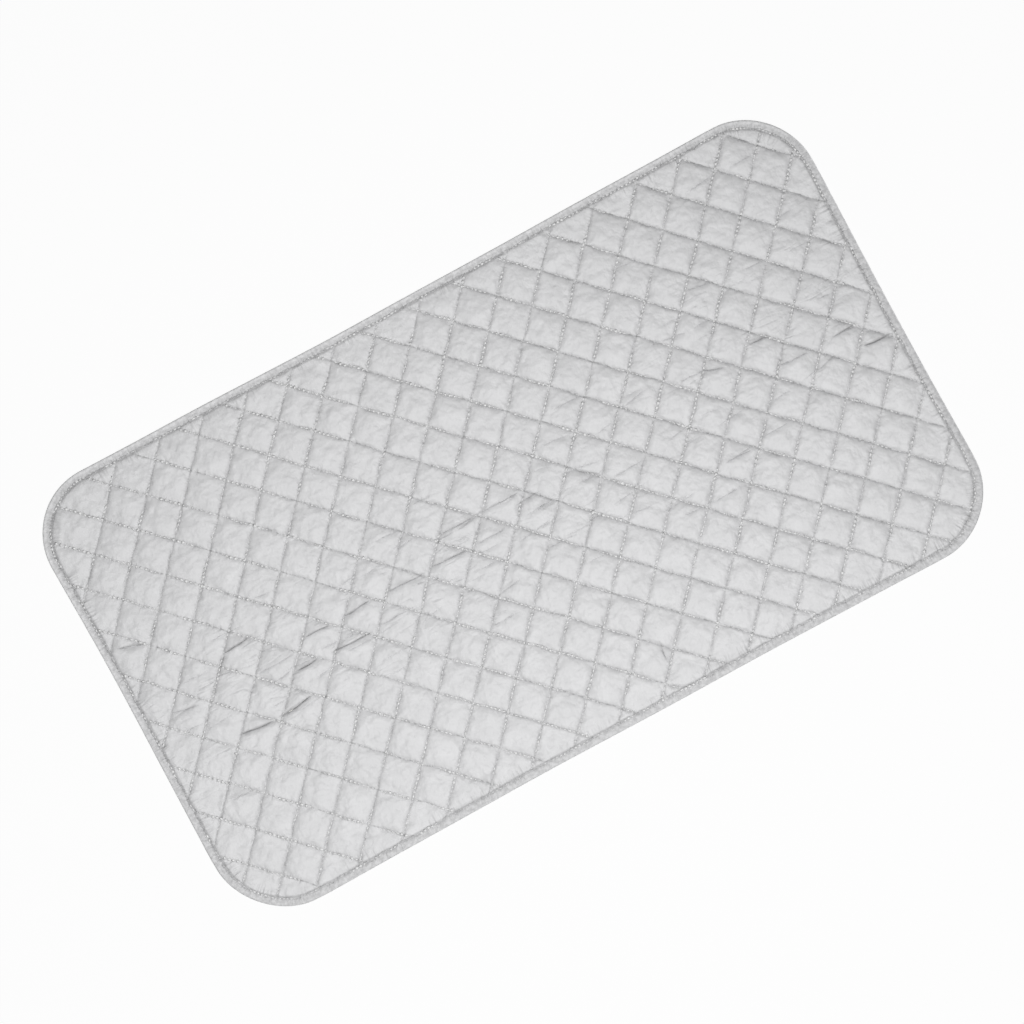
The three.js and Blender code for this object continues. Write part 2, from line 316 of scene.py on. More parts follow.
def tightness(family, x, y):
    """How hard a row's thread pulls: falling rows are drawn in hardest to the right."""
    base = PULL[family] + PULL_TO_RIGHT[family] * x / (LENGTH / 2)
    return base + 0.5 * noise.noise(Vector((x, y, PULL_LAYER[family])) / PULL_LENGTH)


def furrow(distance, family, x, y):
    """How deep the cover is pulled in beside a row: a sharp groove in a shallow trough."""
    width = (0.7 + 0.9 * thread_shows(family, x, y)) * MM
    groove = GROOVE_DEPTH * math.exp(-((distance / width) ** 2))
    trough = TROUGH_DEPTH * math.exp(-distance / TROUGH_REACH)
    return (groove + trough) * tightness(family, x, y) * MM


def furrow_floor(depth):
    """The lowest that the cover may sink: the layers under it rise towards the tape."""
    return FURROW_FLOOR + TAPE_LIFT * (1 - eased(depth, TAPE_FACE + 1 * MM, TAPE_FACE + 7 * MM))


for family in ("rising", "falling"):
    print("a", family, "row lies", round(furrow(0.0, family, 0.0, 0.0) / MM, 2), "mm deep in the middle")


# %% Rumples and the pressed edge
PRESSED_SHARE = 0.12


def rumpled(x, y):
    """How rumpled the cover is: most near the fold in its left part and by its right end."""
    left = math.exp(-(((y + 25 * MM) / (60 * MM)) ** 2)) * eased(-x, -120 * MM, 120 * MM)
    right = math.exp(-(((y - 40 * MM) / (110 * MM)) ** 2)) * eased(x, 100 * MM, 280 * MM)
    return min(1.0, 0.1 + left + 0.75 * right)


def nearest_edge(x, y):
    """The point of the outline that lies nearest to a point of the pad."""
    past = Vector((abs(x) - LENGTH / 2 + CORNER, abs(y) - WIDTH / 2 + CORNER))
    if past.x > 0 and past.y > 0:
        near = Vector((LENGTH / 2 - CORNER, WIDTH / 2 - CORNER)) + past.normalized() * CORNER
    elif past.x > past.y:
        near = Vector((LENGTH / 2, abs(y)))
    else:
        near = Vector((abs(x), WIDTH / 2))
    return math.copysign(near.x, x), math.copysign(near.y, y)


def pressed(height, depth, slope):
    """A layer's height near the edge, where the seam of the tape presses all layers together."""
    free = eased(depth, TAPE_FACE - 0.2 * MM, TAPE_FACE - 0.2 * MM + slope)
    return EDGE_MIDDLE + (height - EDGE_MIDDLE) * (PRESSED_SHARE + (1 - PRESSED_SHARE) * free)


print("at the raw edge the cover lies at", round(pressed(ROW_HEIGHT, 0.0, 1 * MM) / MM, 2), "mm")


# %% Cuts along a line, and along the tape
RINGS = (-0.5 * MM, 0.6 * MM, 1.8 * MM, 4.5 * MM)
RINGS_REACH = TAPE_FACE + 8 * MM
NO_SLIVER = 0.02 * MM


def cut_line(faces, point, side, folded):
    """Cuts some faces along a line, adds the new faces to them and marks a folded line as sharp."""
    on_line = set()
    for edge in {e for face in faces for e in face.edges}:
        far = [(v.co.xy - point).dot(side) for v in edge.verts]
        if far[0] * far[1] < 0 and min(abs(far[0]), abs(far[1])) > NO_SLIVER:
            on_line.add(bmesh.utils.edge_split(edge, edge.verts[0], far[0] / (far[0] - far[1]))[1])
    for face in list(faces):
        ends = [v for v in face.verts if v in on_line]
        if len(ends) == 2 and not {e for e in ends[0].link_edges if e.other_vert(ends[0]) is ends[1]}:
            faces.add(bmesh.utils.face_split(face, *ends)[0])
            if folded:
                next(e for e in ends[0].link_edges if e.other_vert(ends[0]) is ends[1]).smooth = False


def cut_rings(bm):
    """Cuts a sheet along the tape, where it comes steeply out of the seam."""
    planes = list(outline_planes(0.0))
    near = [set() for plane in planes]
    for face in bm.faces:
        middle = face.calc_center_median() * Vector((1, 1, 0))
        if inset(middle.x, middle.y) < RINGS_REACH:
            past = [(middle - point).dot(out) for point, out in planes]
            near[past.index(max(past))].add(face)
    for (point, out), faces in zip(planes, near):
        for ring in RINGS:
            cut_line(faces, (point - out * (TAPE_FACE + ring)).xy, out.xy, False)


bm = bmesh.new()
bm.from_mesh(cover.data)
cut_rings(bm)
print("cover cut along the tape:", len(bm.verts), "points")

# %% Sink the rows
CRUMPLE, FOLD_HEIGHT = 0.5 * MM, 0.6 * MM
CRUMPLE_LENGTH, FOLD_LENGTH = 11 * MM, 60 * MM
COVER_SLOPE = 2.4 * MM

edge_depth, rumple = bm.verts.layers.float.new("edge_depth"), bm.verts.layers.float.new("rumple")
# one layer holds the painted shade of the creases, which darkens the coat's colour there
painted_crease_shade, open_row = bm.verts.layers.float.new("painted_crease_shade"), bm.verts.layers.float.new("open_row")
edge_x, edge_y = bm.verts.layers.float.new("edge_x"), bm.verts.layers.float.new("edge_y")
rising, falling = bm.verts.layers.float["rising"], bm.verts.layers.float["falling"]
for v in bm.verts:
    from_rising, from_falling = row_distance(v, rising, falling)
    x, y = v.co.x, v.co.y
    v[edge_depth], v[rumple] = inset(x, y), rumpled(x, y)
    v[edge_x], v[edge_y] = nearest_edge(x, y)
    v[open_row] = thread_shows("rising" if from_rising < from_falling else "falling", x, y)
    pull = max(furrow(from_rising, "rising", x, y), furrow(from_falling, "falling", x, y))
    crumple = CRUMPLE * noise.noise(Vector((x, y, 0.7 * MM)) / CRUMPLE_LENGTH)
    crumple += FOLD_HEIGHT * v[rumple] * noise.noise(Vector((x / FOLD_LENGTH, y / CRUMPLE_LENGTH, 0.9)))
    loose = eased(min(from_rising, from_falling), 0.0, 6 * MM)
    sunk = max(furrow_floor(v[edge_depth]), v.co.z + crumple * loose - pull)
    v.co.z = pressed(sunk, v[edge_depth], COVER_SLOPE)
print("rows sunk on", len(bm.verts), "points")

# %% Where the creases run
MAIN_CREASES = [  # both ends and the depth, in millimetres, read off the photograph
    (-341, -62, -307, -67, 1.4), (-297, -67, -262, -62, 1.5), (-318, 16, -288, 19, 1.1),
    (-331, 1, -318, 15, 0.9), (-263, -34, -238, -33, 1.0), (-222, -34, -180, -36, 1.0),
    (-240, -8, -210, -9, 0.9), (-197, -9, -166, -7, 0.9), (-392, -12, -364, -16, 0.7),
    (-408, 69, -382, 61, 0.9), (-78, 17, 12, 16, 0.7), (-146, -8, -104, -9, 0.75),
    (-98, -7, -57, -9, 0.7), (-46, -9, -14, -8, 0.7), (-172, -34, -130, -33, 0.6),
    (9, 6, 31, 7, 0.7), (74, 8, 95, -8, 0.9), (361, 4, 386, 3, 0.9),
    (383, -19, 414, -21, 1.4), (300, 3, 332, 1, 0.7), (284, 36, 301, 35, 1.1),
    (229, 36, 251, 28, 0.8), (255, 112, 286, 106, 0.7), (250, -50, 282, -50, 0.6),
    (66, -180, 63, -200, 0.7),
]
FAINT_CREASES = 110
CLEAR_OF_EDGE = 25 * MM
TUCK = 0.12 * MM
WALL, WALL_REACH = 1.5, 1.2 * MM
HOLLOW, HOLLOW_REACH = 0.4, 3.5 * MM
RIDGE, RIDGE_REACH = 0.12, 2.5 * MM


def all_creases():
    """The creases that stand out, then faint ones strewn about the fold and over the right part."""
    yield from MAIN_CREASES
    random.seed(23)
    for count in range(FAINT_CREASES):
        x = random.uniform(-395, 395)
        y = random.gauss(-18, 38) if x < 150 else random.gauss(50, 85)
        half = random.uniform(7, 19)
        slope = random.gauss(0, 0.09)
        deep = random.uniform(0.25, 0.6)
        if inset(x * MM, y * MM) > CLEAR_OF_EDGE:
            yield x - half, y - half * slope, x + half, y + half * slope, deep


def crease_dip(across, deep):
    """The cloth's height beside a crease: a long wall down into it, then a tuck up to a low ridge."""
    if across < 0.5 * TUCK:
        wall = WALL * math.exp(across / WALL_REACH)
        hollow = HOLLOW * math.exp(-((across / HOLLOW_REACH) ** 2))
        return -deep * (wall + hollow)
    return RIDGE * deep * math.exp(-((across / RIDGE_REACH) ** 2))


print("creases:", len(list(all_creases())))

# %% Sort the cover's faces by diamond
def diamond_at(point):
    """How many rows of each family lie behind a point, which tells the diamond it is in."""
    across = ROW_NORMALS @ point
    return (math.floor((across[0] - RISING_OFFSET) / RISING_PITCH),
            math.floor((across[1] - FALLING_OFFSET) / FALLING_PITCH))


diamonds = {}
for face in bm.faces:
    diamonds.setdefault(diamond_at(face.calc_center_median().xy), set()).add(face)
print("diamonds, with those at the edge:", len(diamonds))

# %% Cut and press the creases
CREASE_CUTS = [-4.5 * MM, -1.6 * MM, -0.6 * MM, 0.0, TUCK, 3 * MM]
CREASE_REACH, CREASE_END, FADE_FROM = 6 * MM, 4 * MM, -2 * MM
CREASE_SPOTS = 32
HELD_TO, LOOSE_FROM = 0.3 * MM, 3 * MM
PAINTED_SHADE_REACH = 0.8 * MM


def press_crease(diamonds, start, end, deep):
    """Cuts the cloth along a crease, pushes it in, and lays painted shade along it."""
    along = (end - start).normalized()
    side = Vector((-along.y, along.x))
    length = (end - start).length
    keys = set()
    for step in range(CREASE_SPOTS + 1):
        keys.add(diamond_at(start + (end - start) * (step / CREASE_SPOTS * 1.2 - 0.1)))
    close = set()
    for key in keys & diamonds.keys():
        for face in diamonds[key]:
            spot = face.calc_center_median().xy - start
            if abs(spot.dot(side)) < CREASE_REACH and -CREASE_END < spot.dot(along) < length + CREASE_END:
                close.add((key, face))
    touched = set()
    for key in {key for key, face in close}:
        faces = {face for place, face in close if place == key}
        diamonds[key] -= faces
        for cut in CREASE_CUTS:
            cut_line(faces, start + side * cut, side, cut in (0.0, TUCK))
        diamonds[key] |= faces
        touched |= {v for face in faces for v in face.verts}
    for v in touched:
        spot = v.co.xy - start
        ran = spot.dot(along)
        fade = eased(ran, FADE_FROM, CREASE_END) * eased(length - ran, FADE_FROM, CREASE_END)
        held = eased(min(row_distance(v, rising, falling)), HELD_TO, LOOSE_FROM)
        dip = crease_dip(spot.dot(side), deep) * fade * (0.5 + 0.5 * held)
        v.co.z = max(min(v.co.z, furrow_floor(v[edge_depth])), v.co.z + dip)
        # painted shade: the coat's colour is darkened along the crease, where its shadow falls
        painted_shade = fade * min(1.0, deep / MM) ** 2 * math.exp(-((spot.dot(side) / PAINTED_SHADE_REACH) ** 2))
        v[painted_crease_shade] = max(v[painted_crease_shade], painted_shade)


before = len(bm.verts)
for x0, y0, x1, y1, deep in all_creases():
    press_crease(diamonds, Vector((x0, y0)) * MM, Vector((x1, y1)) * MM, deep * MM)
print("creases added", len(bm.verts) - before, "points")

# %% Lay the cover
row_map = bm.loops.layers.uv.new("rows")
for face in bm.faces:
    for corner in face.loops:
        corner[row_map].uv = (corner.vert[rising], corner.vert[falling])
settle(bm)
cover_tree = BVHTree.FromBMesh(bm)
bm.to_mesh(cover.data)
bm.free()
for face in cover.data.polygons:
    face.use_smooth = True
print("cover has", sum(len(f.vertices) - 2 for f in cover.data.polygons), "triangles")

# %% [markdown]
# ## The stitches
# A lockstitch shows as a row of short threads, each dipping into a needle hole at both ends, so a bead
# is the right shape: a small sphere of a few faces, stretched along the row. One bead is made and is
# stamped along every row, and each lies on the cover where a ray from above meets it. Stitches that the
# cloth has closed over are left out.

# %% One bead of thread, and a row of them
def thread_bead():
    """A sphere one unit long, wide and high, with its poles along X."""
    bm = bmesh.new()
    bm.loops.layers.uv.new("along")
    bmesh.ops.create_uvsphere(bm, u_segments=6, v_segments=4, radius=0.5, calc_uvs=True,
                              matrix=Matrix.Rotation(math.radians(90), 4, "Y"))
    mesh = bpy.data.meshes.new("bead")
    bm.to_mesh(mesh)
    bm.free()
    return mesh


BEAD = thread_bead()
STITCHES_A_DIAMOND = 8


def stamp(bm, centre, along, up, length, width, height):
    """Adds one bead of thread to a piece."""
    side = up.cross(along).normalized()
    turn = Matrix((along.normalized(), side, along.normalized().cross(side))).transposed()
    place = Matrix.LocRotScale(centre, turn, Vector((length, width, height)))
    BEAD.transform(place)
    bm.from_mesh(BEAD)
    BEAD.transform(place.inverted())


def row_stitches(family):
    """The middle and the direction of every stitch of one family of rows."""
    for row in range(-ROWS_OUT, ROWS_OUT + 1):
        start = (row * 0.618) % 1
        for count in range(-ROWS_OUT * STITCHES_A_DIAMOND, ROWS_OUT * STITCHES_A_DIAMOND):
            middle = (count + start) / STITCHES_A_DIAMOND
            ends = [(row, middle - 0.03), (row, middle + 0.03)]
            if family == "falling":
                ends = [(b, a) for a, b in ends]
            tail, head = (on_pad(*end) for end in ends)
            centre = (tail + head) / 2
            if inset(*centre) > TAPE_FACE + 1 * MM and (family == "falling" or row >= FIRST_RISING):
                yield centre, Vector(settled(*head)) - Vector(settled(*tail))


print("a bead has", len(BEAD.polygons), "faces")

# %% Stitch the rows
STITCH_LENGTH, ASKEW = 3.2 * MM, 0.06
LOWEST_THREAD = 0.55 * MM  # just above the backing
UP, DOWN = Vector((0, 0, 1)), Vector((0, 0, -1))
ABOVE, BELOW = 0.05, -0.05
stitch_pieces = {}
for family in ("rising", "falling"):
    bm = bmesh.new()
    for centre, along in row_stitches(family):
        shows = thread_shows(family, *centre)
        x, y = settled(*centre)
        hit = cover_tree.ray_cast(Vector((x, y, ABOVE)), DOWN)[0]
        lift = (random.gauss(-0.5, 0.35) + 1.5 * shows) * MM
        askew = Vector((random.gauss(0, ASKEW), random.gauss(0, ASKEW), 0)) * along.length
        long = STITCH_LENGTH * random.uniform(0.65, 1.1)
        wide = (0.5 + random.uniform(0.8, 2.6) * shows) * MM
        high = (0.6 + 1.3 * shows) * MM
        if lift > -0.5 * high:
            middle = Vector((x, y, max(hit.z + lift, LOWEST_THREAD + 0.5 * high)))
            stamp(bm, middle, along.to_3d() + askew, UP, long, wide, high)
    stitch_pieces[family] = new_piece("quilting_stitches_" + family, bm)
    print(family, "stitches:", len(stitch_pieces[family].data.polygons) // len(BEAD.polygons))

# %% [markdown]
# ## The edge binding
# The binding is a flat woven tape folded round the raw edges. It is made that way: a long grid is the
# tape, its length is run round the outline, and its width is folded from under the pad, round the edge
# and onto the cover. A seam near its inner edge pulls it down at every stitch.

# %% The tape's way round the pad
SIDE_X, SIDE_Y = LENGTH / 2 - CORNER, WIDTH / 2 - CORNER
ROUND_EDGE = 4 * (SIDE_X + SIDE_Y) + 2 * math.pi * CORNER


def edge_point(along, depth):
    """The point so far along the outline, anticlockwise from the right side's foot, and so deep."""
    radius = CORNER - depth
    along %= ROUND_EDGE
    for quarter in range(4):
        turn = math.radians(90) * quarter
        ahead = Vector((-math.sin(turn), math.cos(turn)))
        out = Vector((math.cos(turn), math.sin(turn)))
        half = SIDE_Y if quarter % 2 == 0 else SIDE_X
        middle = SIDE_X if quarter % 2 == 0 else SIDE_Y
        if along < 2 * half:
            return out * (middle + radius) + ahead * (along - half)
        along -= 2 * half
        if along < math.radians(90) * CORNER:
            bend = turn + along / CORNER
            return out * middle + ahead * half + radius * Vector((math.cos(bend), math.sin(bend)))
        along -= math.radians(90) * CORNER
    return edge_point(0.0, depth)


print("the way round is", round(ROUND_EDGE, 3), "m")

# %% The tape's fold and its seam
TAPE_HEIGHT, INNER_SLOPE = 3.7 * MM, 0.35 * MM
TAPE_CLOTH = 0.6 * MM
TAPE_ROLL = 1.0 * MM
TAPE_WIDTH = 2 * (TAPE_FACE - TAPE_ROLL) + math.pi * (TAPE_ROLL + TAPE_HEIGHT / 2) / 2
SEAM_DEPTH, SEAM_REACH = 7.7 * MM, 1.2 * MM
SEAM_STITCHES = 600
SEAM_PITCH = ROUND_EDGE / SEAM_STITCHES
SEAM_STRAY, STRAY_LENGTH = 0.9 * MM, 13 * MM


def tape_fold(share):
    """Depth and height of a point on the folded tape, from its lower edge, 0, to its upper edge, 1."""
    flat = TAPE_FACE - TAPE_ROLL
    run = share * TAPE_WIDTH
    if run < flat:
        return TAPE_FACE - run, 0.0
    if run > TAPE_WIDTH - flat:
        depth = TAPE_FACE - (TAPE_WIDTH - run)
        return depth, TAPE_HEIGHT - INNER_SLOPE * ((depth - TAPE_ROLL) / flat) ** 2
    turn = math.pi * (run - flat) / (TAPE_WIDTH - 2 * flat)
    return TAPE_ROLL * (1 - math.sin(turn)), TAPE_HEIGHT / 2 * (1 - math.cos(turn))


def seam_wander(along):
    """How far the seam, and the tape's inner edge with it, strays inwards."""
    return SEAM_STRAY * noise.noise(edge_point(along, 0.0).to_3d() / STRAY_LENGTH)


def seam_pull(along, depth):
    """How far the seam's stitches draw the tape down: least along the front."""
    beat = 0.8 + 0.2 * math.cos(2 * math.pi * along / SEAM_PITCH)
    tight = 0.9 + 0.4 * edge_point(along, 0.0).y / (WIDTH / 2)
    return tight * MM * beat * math.exp(-(((depth - SEAM_DEPTH) / SEAM_REACH) ** 2))


print("the tape is", round(TAPE_WIDTH / MM, 1), "mm wide and has a stitch every", round(SEAM_PITCH / MM, 1))

# %% Fold the tape round the edge
TAPE_STATIONS, TAPE_LINES = 2100, 20
CROWD_UP = 1.4  # more of the tape's lines lie on its upper face, where its folds show
DRIFT_LENGTH, DRIFT_DROP = 9 * MM, 0.3 * MM
GATHER_LENGTH, GATHER_DEPTH, GATHER_HEIGHT = 4.5 * MM, 12 * MM, 1.0 * MM
RIGHT_SAG, SAG_REACH = 1.7 * MM, 2.8 * MM

bm = bmesh.new()
bmesh.ops.create_grid(bm, x_segments=TAPE_STATIONS, y_segments=TAPE_LINES, size=0.5)
tape_map = bm.loops.layers.uv.new("tape")
for face in bm.faces:
    for corner in face.loops:
        share = 1 - (0.5 - corner.vert.co.y) ** CROWD_UP
        corner[tape_map].uv = (corner.vert.co.x + 0.5) * ROUND_EDGE, share * TAPE_WIDTH
for v in bm.verts:
    along = (v.co.x + 0.5) * ROUND_EDGE
    depth, height = tape_fold(1 - (0.5 - v.co.y) ** CROWD_UP)
    upper = eased(height, 0.5 * TAPE_HEIGHT, 0.9 * TAPE_HEIGHT)
    beat = math.cos(2 * math.pi * along / SEAM_PITCH)
    edge = Vector((*edge_point(along, 0.0), 0.0))
    drift = noise.noise(edge / DRIFT_LENGTH)
    gather = noise.noise(edge / GATHER_LENGTH + Vector((0, 0, depth / GATHER_DEPTH)))
    height -= upper * seam_pull(along, depth)
    inner = upper * eased(depth, 6 * MM, TAPE_FACE)
    height += inner * DRIFT_DROP * (drift - 1)
    height += upper * GATHER_HEIGHT * gather * eased(depth, 1 * MM, 5 * MM)
    at_right = eased(edge.x, LENGTH / 2 - 15 * MM, LENGTH / 2)
    height -= upper * at_right * RIGHT_SAG * math.exp(-((depth / SAG_REACH) ** 2))
    depth += upper * eased(depth, 3 * MM, 7 * MM) * seam_wander(along)
    depth += inner * (0.8 * drift + 1.4 * gather - 0.45 * beat) * MM
    point = edge_point(along, depth)
    v.co = (*settled(*point), height)
bmesh.ops.remove_doubles(bm, verts=bm.verts, dist=0.05 * MM)
bmesh.ops.recalc_face_normals(bm, faces=bm.faces)
bm.normal_update()
bmesh.ops.solidify(bm, geom=bm.faces[:], thickness=TAPE_CLOTH)
bmesh.ops.recalc_face_normals(bm, faces=bm.faces)
tape_tree = BVHTree.FromBMesh(bm)
binding = new_piece("binding", bm)
print("tape has", sum(len(f.vertices) - 2 for f in binding.data.polygons), "triangles")

# %% Stitch the tape down
def seam_way(along):
    """The direction of the seam at a place along the outline."""
    ends = [Vector(settled(*edge_point(along + step, SEAM_DEPTH))) for step in (-1 * MM, 1 * MM)]
    return (ends[1] - ends[0]).to_3d()


bm = bmesh.new()
for count in range(SEAM_STITCHES):
    along = (count + 0.5) * SEAM_PITCH
    depth = SEAM_DEPTH + seam_wander(along) + random.uniform(-0.4, 0.4) * MM
    x, y = settled(*edge_point(along, depth))
    hit = tape_tree.ray_cast(Vector((x, y, ABOVE)), DOWN)[0]
    open_here = min(1.0, max(0.0, 0.25 + 2.3 * noise.noise(Vector((x, y, 0.5)) / (13 * MM))))
    lift = (random.uniform(-0.9, -0.4) + 1.3 * open_here) * MM
    long = random.uniform(2.0, 3.4) * MM
    wide = (0.8 + random.uniform(0.8, 2.2) * open_here) * MM
    stamp(bm, hit + UP * lift, seam_way(along), UP, long, wide, 1.2 * MM)
binding_stitches = new_piece("binding_stitches", bm)
print("seam stitches:", SEAM_STITCHES)

# %% [markdown]
# ## The backing and the wadding
# The backing is a plain cloth under the pad. It lies flat on the table between the rows and is drawn up
# a little at each row. The wadding fills what is left between cover and backing, and is found by looking
# up and down from each of its points to the cloths that hold it. Both go round the outside of the fold,
# so they are cut into narrow strips there and can bend in a round.

# %% Backing
BACKING_STEPS, WADDING_STEPS = 6, 8
BACKING_RISE, RISE_REACH = 0.45 * MM, 4 * MM
OFF_TABLE, UNDER_TAPE, BACKING_SLOPE = 0.02 * MM, 0.95 * MM, 6 * MM
FOLD_START, FOLD_END = (0, 1 * MM, 0), (0, -7 * MM, 0)
FOLD_MIDDLE = (FOLD_START[1] + FOLD_END[1]) / 2
FOLD_REACH = 12 * MM
FOLD_STRIPS = 20


def lower_sheet(steps):
    """A quilted sheet that is also cut along the tape and into strips at the fold."""
    bm = quilted_sheet(steps)
    cut_rings(bm)
    for strip in range(FOLD_STRIPS + 1):
        cut_at = Vector(FOLD_START).lerp(Vector(FOLD_END), strip / FOLD_STRIPS)
        near = [f for f in bm.faces if abs(f.calc_center_median().y - cut_at.y) < FOLD_REACH]
        near += list({e for f in near for e in f.edges}) + list({v for f in near for v in f.verts})
        bmesh.ops.bisect_plane(bm, geom=near, dist=1e-6, plane_co=cut_at, plane_no=(0, 1, 0))
    return bm


bm = lower_sheet(BACKING_STEPS)
rising, falling = bm.verts.layers.float["rising"], bm.verts.layers.float["falling"]
for v in bm.verts:
    depth = inset(v.co.x, v.co.y)
    nearest = min(row_distance(v, rising, falling))
    drawn_up = BACKING_RISE * math.exp(-((nearest / RISE_REACH) ** 2))
    drawn_up *= eased(abs(v.co.y - FOLD_MIDDLE), 6 * MM, 14 * MM)
    under_tape = 1 - eased(depth, TAPE_FACE, TAPE_FACE + BACKING_SLOPE)
    v.co.z = pressed(max(OFF_TABLE + drawn_up, UNDER_TAPE * under_tape), depth, BACKING_SLOPE)
settle(bm)
bmesh.ops.reverse_faces(bm, faces=bm.faces)
backing_tree = BVHTree.FromBMesh(bm)
backing = new_piece("backing", bm)
print("backing:", len(backing.data.polygons), "faces")

# %% Wadding
CLOTH_GAP, FOLD_GAP, LEAST_GAP = 0.35 * MM, 0.7 * MM, 0.05 * MM
PATCH = 2.5 * MM

lowest = {}
for v in cover.data.vertices:
    spot = (round(v.co.x / PATCH), round(v.co.y / PATCH))
    lowest[spot] = min(lowest.get(spot, 1.0), v.co.z)
bm = lower_sheet(WADDING_STEPS)
settle(bm)
grown = bmesh.ops.extrude_face_region(bm, geom=bm.faces[:])["geom"]
upper_points = {v for v in grown if isinstance(v, bmesh.types.BMVert)}
for v in bm.verts:
    column, line = round(v.co.x / PATCH), round(v.co.y / PATCH)
    around = [(column + i, line + j) for i in (-1, 0, 1) for j in (-1, 0, 1)]
    above = min(lowest.get(spot, EDGE_MIDDLE + 0.2 * MM) for spot in around)
    hit = backing_tree.ray_cast(Vector((v.co.x, v.co.y, BELOW)), UP)[0]
    below = hit.z if hit else EDGE_MIDDLE - 0.1 * MM
    if abs(v.co.y - FOLD_MIDDLE) < FOLD_REACH:
        gap = min(FOLD_GAP, (above - below) / 1.5)
    else:
        gap = min(CLOTH_GAP, (above - below) / 2.2)
    gap = max(LEAST_GAP, gap)
    v.co.z = max(above - gap, below + 1.1 * gap) if v in upper_points else below + gap
bmesh.ops.recalc_face_normals(bm, faces=bm.faces)
wadding = new_piece("wadding", bm)
print("wadding:", len(wadding.data.polygons), "faces")

# %% Bobbin threads underneath
BOBBIN_WIDTH = 0.7 * MM
ROW_BOBBIN_HEIGHT = 0.5 * MM
SEAM_BOBBIN_LENGTH, SEAM_BOBBIN_HEIGHT = 3.1 * MM, 0.4 * MM

bm = bmesh.new()
for family in ("rising", "falling"):
    for centre, along in row_stitches(family):
        x, y = settled(*centre)
        hit = backing_tree.ray_cast(Vector((x, y, BELOW)), UP)[0]
        stamp(bm, hit, along.to_3d(), DOWN, STITCH_LENGTH, BOBBIN_WIDTH, ROW_BOBBIN_HEIGHT)
bobbin_stitches = new_piece("quilting_bobbin_stitches", bm)
bm = bmesh.new()
for count in range(SEAM_STITCHES):
    along = (count + 0.5) * SEAM_PITCH
    middle = Vector((*settled(*edge_point(along, SEAM_DEPTH)), SEAM_BOBBIN_HEIGHT / 2))
    stamp(bm, middle, seam_way(along), DOWN, SEAM_BOBBIN_LENGTH, BOBBIN_WIDTH, SEAM_BOBBIN_HEIGHT)
binding_bobbin = new_piece("binding_bobbin_stitches", bm)
thread_faces = len(bobbin_stitches.data.polygons) + len(binding_bobbin.data.polygons)
print("threads under the pad:", thread_faces, "faces")

# %% [markdown]
# ## Finishes
# Each finish is a Principled shader with the colour, the roughness and the small relief of the real cloth.
# It is built node by node with one small function. Patterns are laid out in millimetres. A plain weave is
# the same for three of the cloths: threads that go over and under each other, which is a sine along one
# set times a sine along the other.

# %% Colours and nodes
EASED = {"interpolation_type": "SMOOTHSTEP"}
COLOURS = {"data_type": "RGBA"}


def linear(hex_colour):
    """An sRGB hex colour as the linear RGBA that Blender works in."""
    parts = [int(hex_colour[i:i + 2], 16) / 255 for i in (1, 3, 5)]
    return [c / 12.92 if c <= 0.04045 else ((c + 0.055) / 1.055) ** 2.4 for c in parts] + [1.0]


def add(tree, kind, sockets=(), **settings):
    """Adds a node, sets its properties, and fills its sockets in order or, from a dict, by name.

    A socket takes a number, a colour, an output of another node, or a node for its first output.
    """
    node = tree.nodes.new("ShaderNode" + kind)
    for name, value in settings.items():
        setattr(node, name, value)
    for name, value in sockets.items() if isinstance(sockets, dict) else enumerate(sockets):
        if isinstance(value, bpy.types.Node):
            value = next(output for output in value.outputs if output.enabled)
        if isinstance(value, bpy.types.NodeSocket):
            tree.links.new(value, node.inputs[name])
        else:
            node.inputs[name].default_value = value
    return node


print("middle grey is", round(linear("#808080")[0], 3), "in linear light")


# %% A cloth's shader, its weave, its colour and its relief
def finish_named(name, piece, rough):
    """A node material for a piece, with its shader and output."""
    material = bpy.data.materials.new(name)
    material.use_nodes = True
    tree = material.node_tree
    tree.nodes.clear()
    shader = add(tree, "BsdfPrincipled", {"Roughness": rough})
    add(tree, "OutputMaterial", {"Surface": shader})
    piece.data.materials.clear()
    piece.data.materials.append(material)
    print("finish:", name)
    return tree, shader


def weave(tree, at, pitch):
    """The height of a plain weave, from -1 to 1, with a thread at every pitch."""
    parts = add(tree, "SeparateXYZ", [at])
    waves = []
    for axis in "XY":
        turns = add(tree, "Math", [parts.outputs[axis], math.pi / pitch], operation="MULTIPLY")
        waves.append(add(tree, "Math", [turns], operation="SINE"))
    return add(tree, "Math", waves, operation="MULTIPLY")


def apply_tone_and_relief(tree, shader, tone, relief):
    """Gives a shader its colour and its relief."""
    tree.links.new(tone.outputs["Result"], shader.inputs["Base Color"])
    tree.links.new(relief.outputs["Normal"], shader.inputs["Normal"])
    print("finish of", len(tree.nodes), "nodes")


# %% [markdown]
# ### Silver-coated cotton
# The ironing face is cotton with a thin coat of aluminium powder, which sends the heat back into the
# clothes. That gives the eye a pale grey with a broad, soft shine, so it is a little metallic and rough.
# The cloth is crumpled in soft blotches of about a centimetre, and the seam of the tape gathers it into
# small folds here and there. The coat's colour is darkened in the creases, along the rows, and beside the
# tape, as painted shade.

# %% Silver coat and crumples
WEAVE_PITCH = 2.4 * MM  # the real threads lie 0.4 mm apart, too fine for a picture of the whole pad

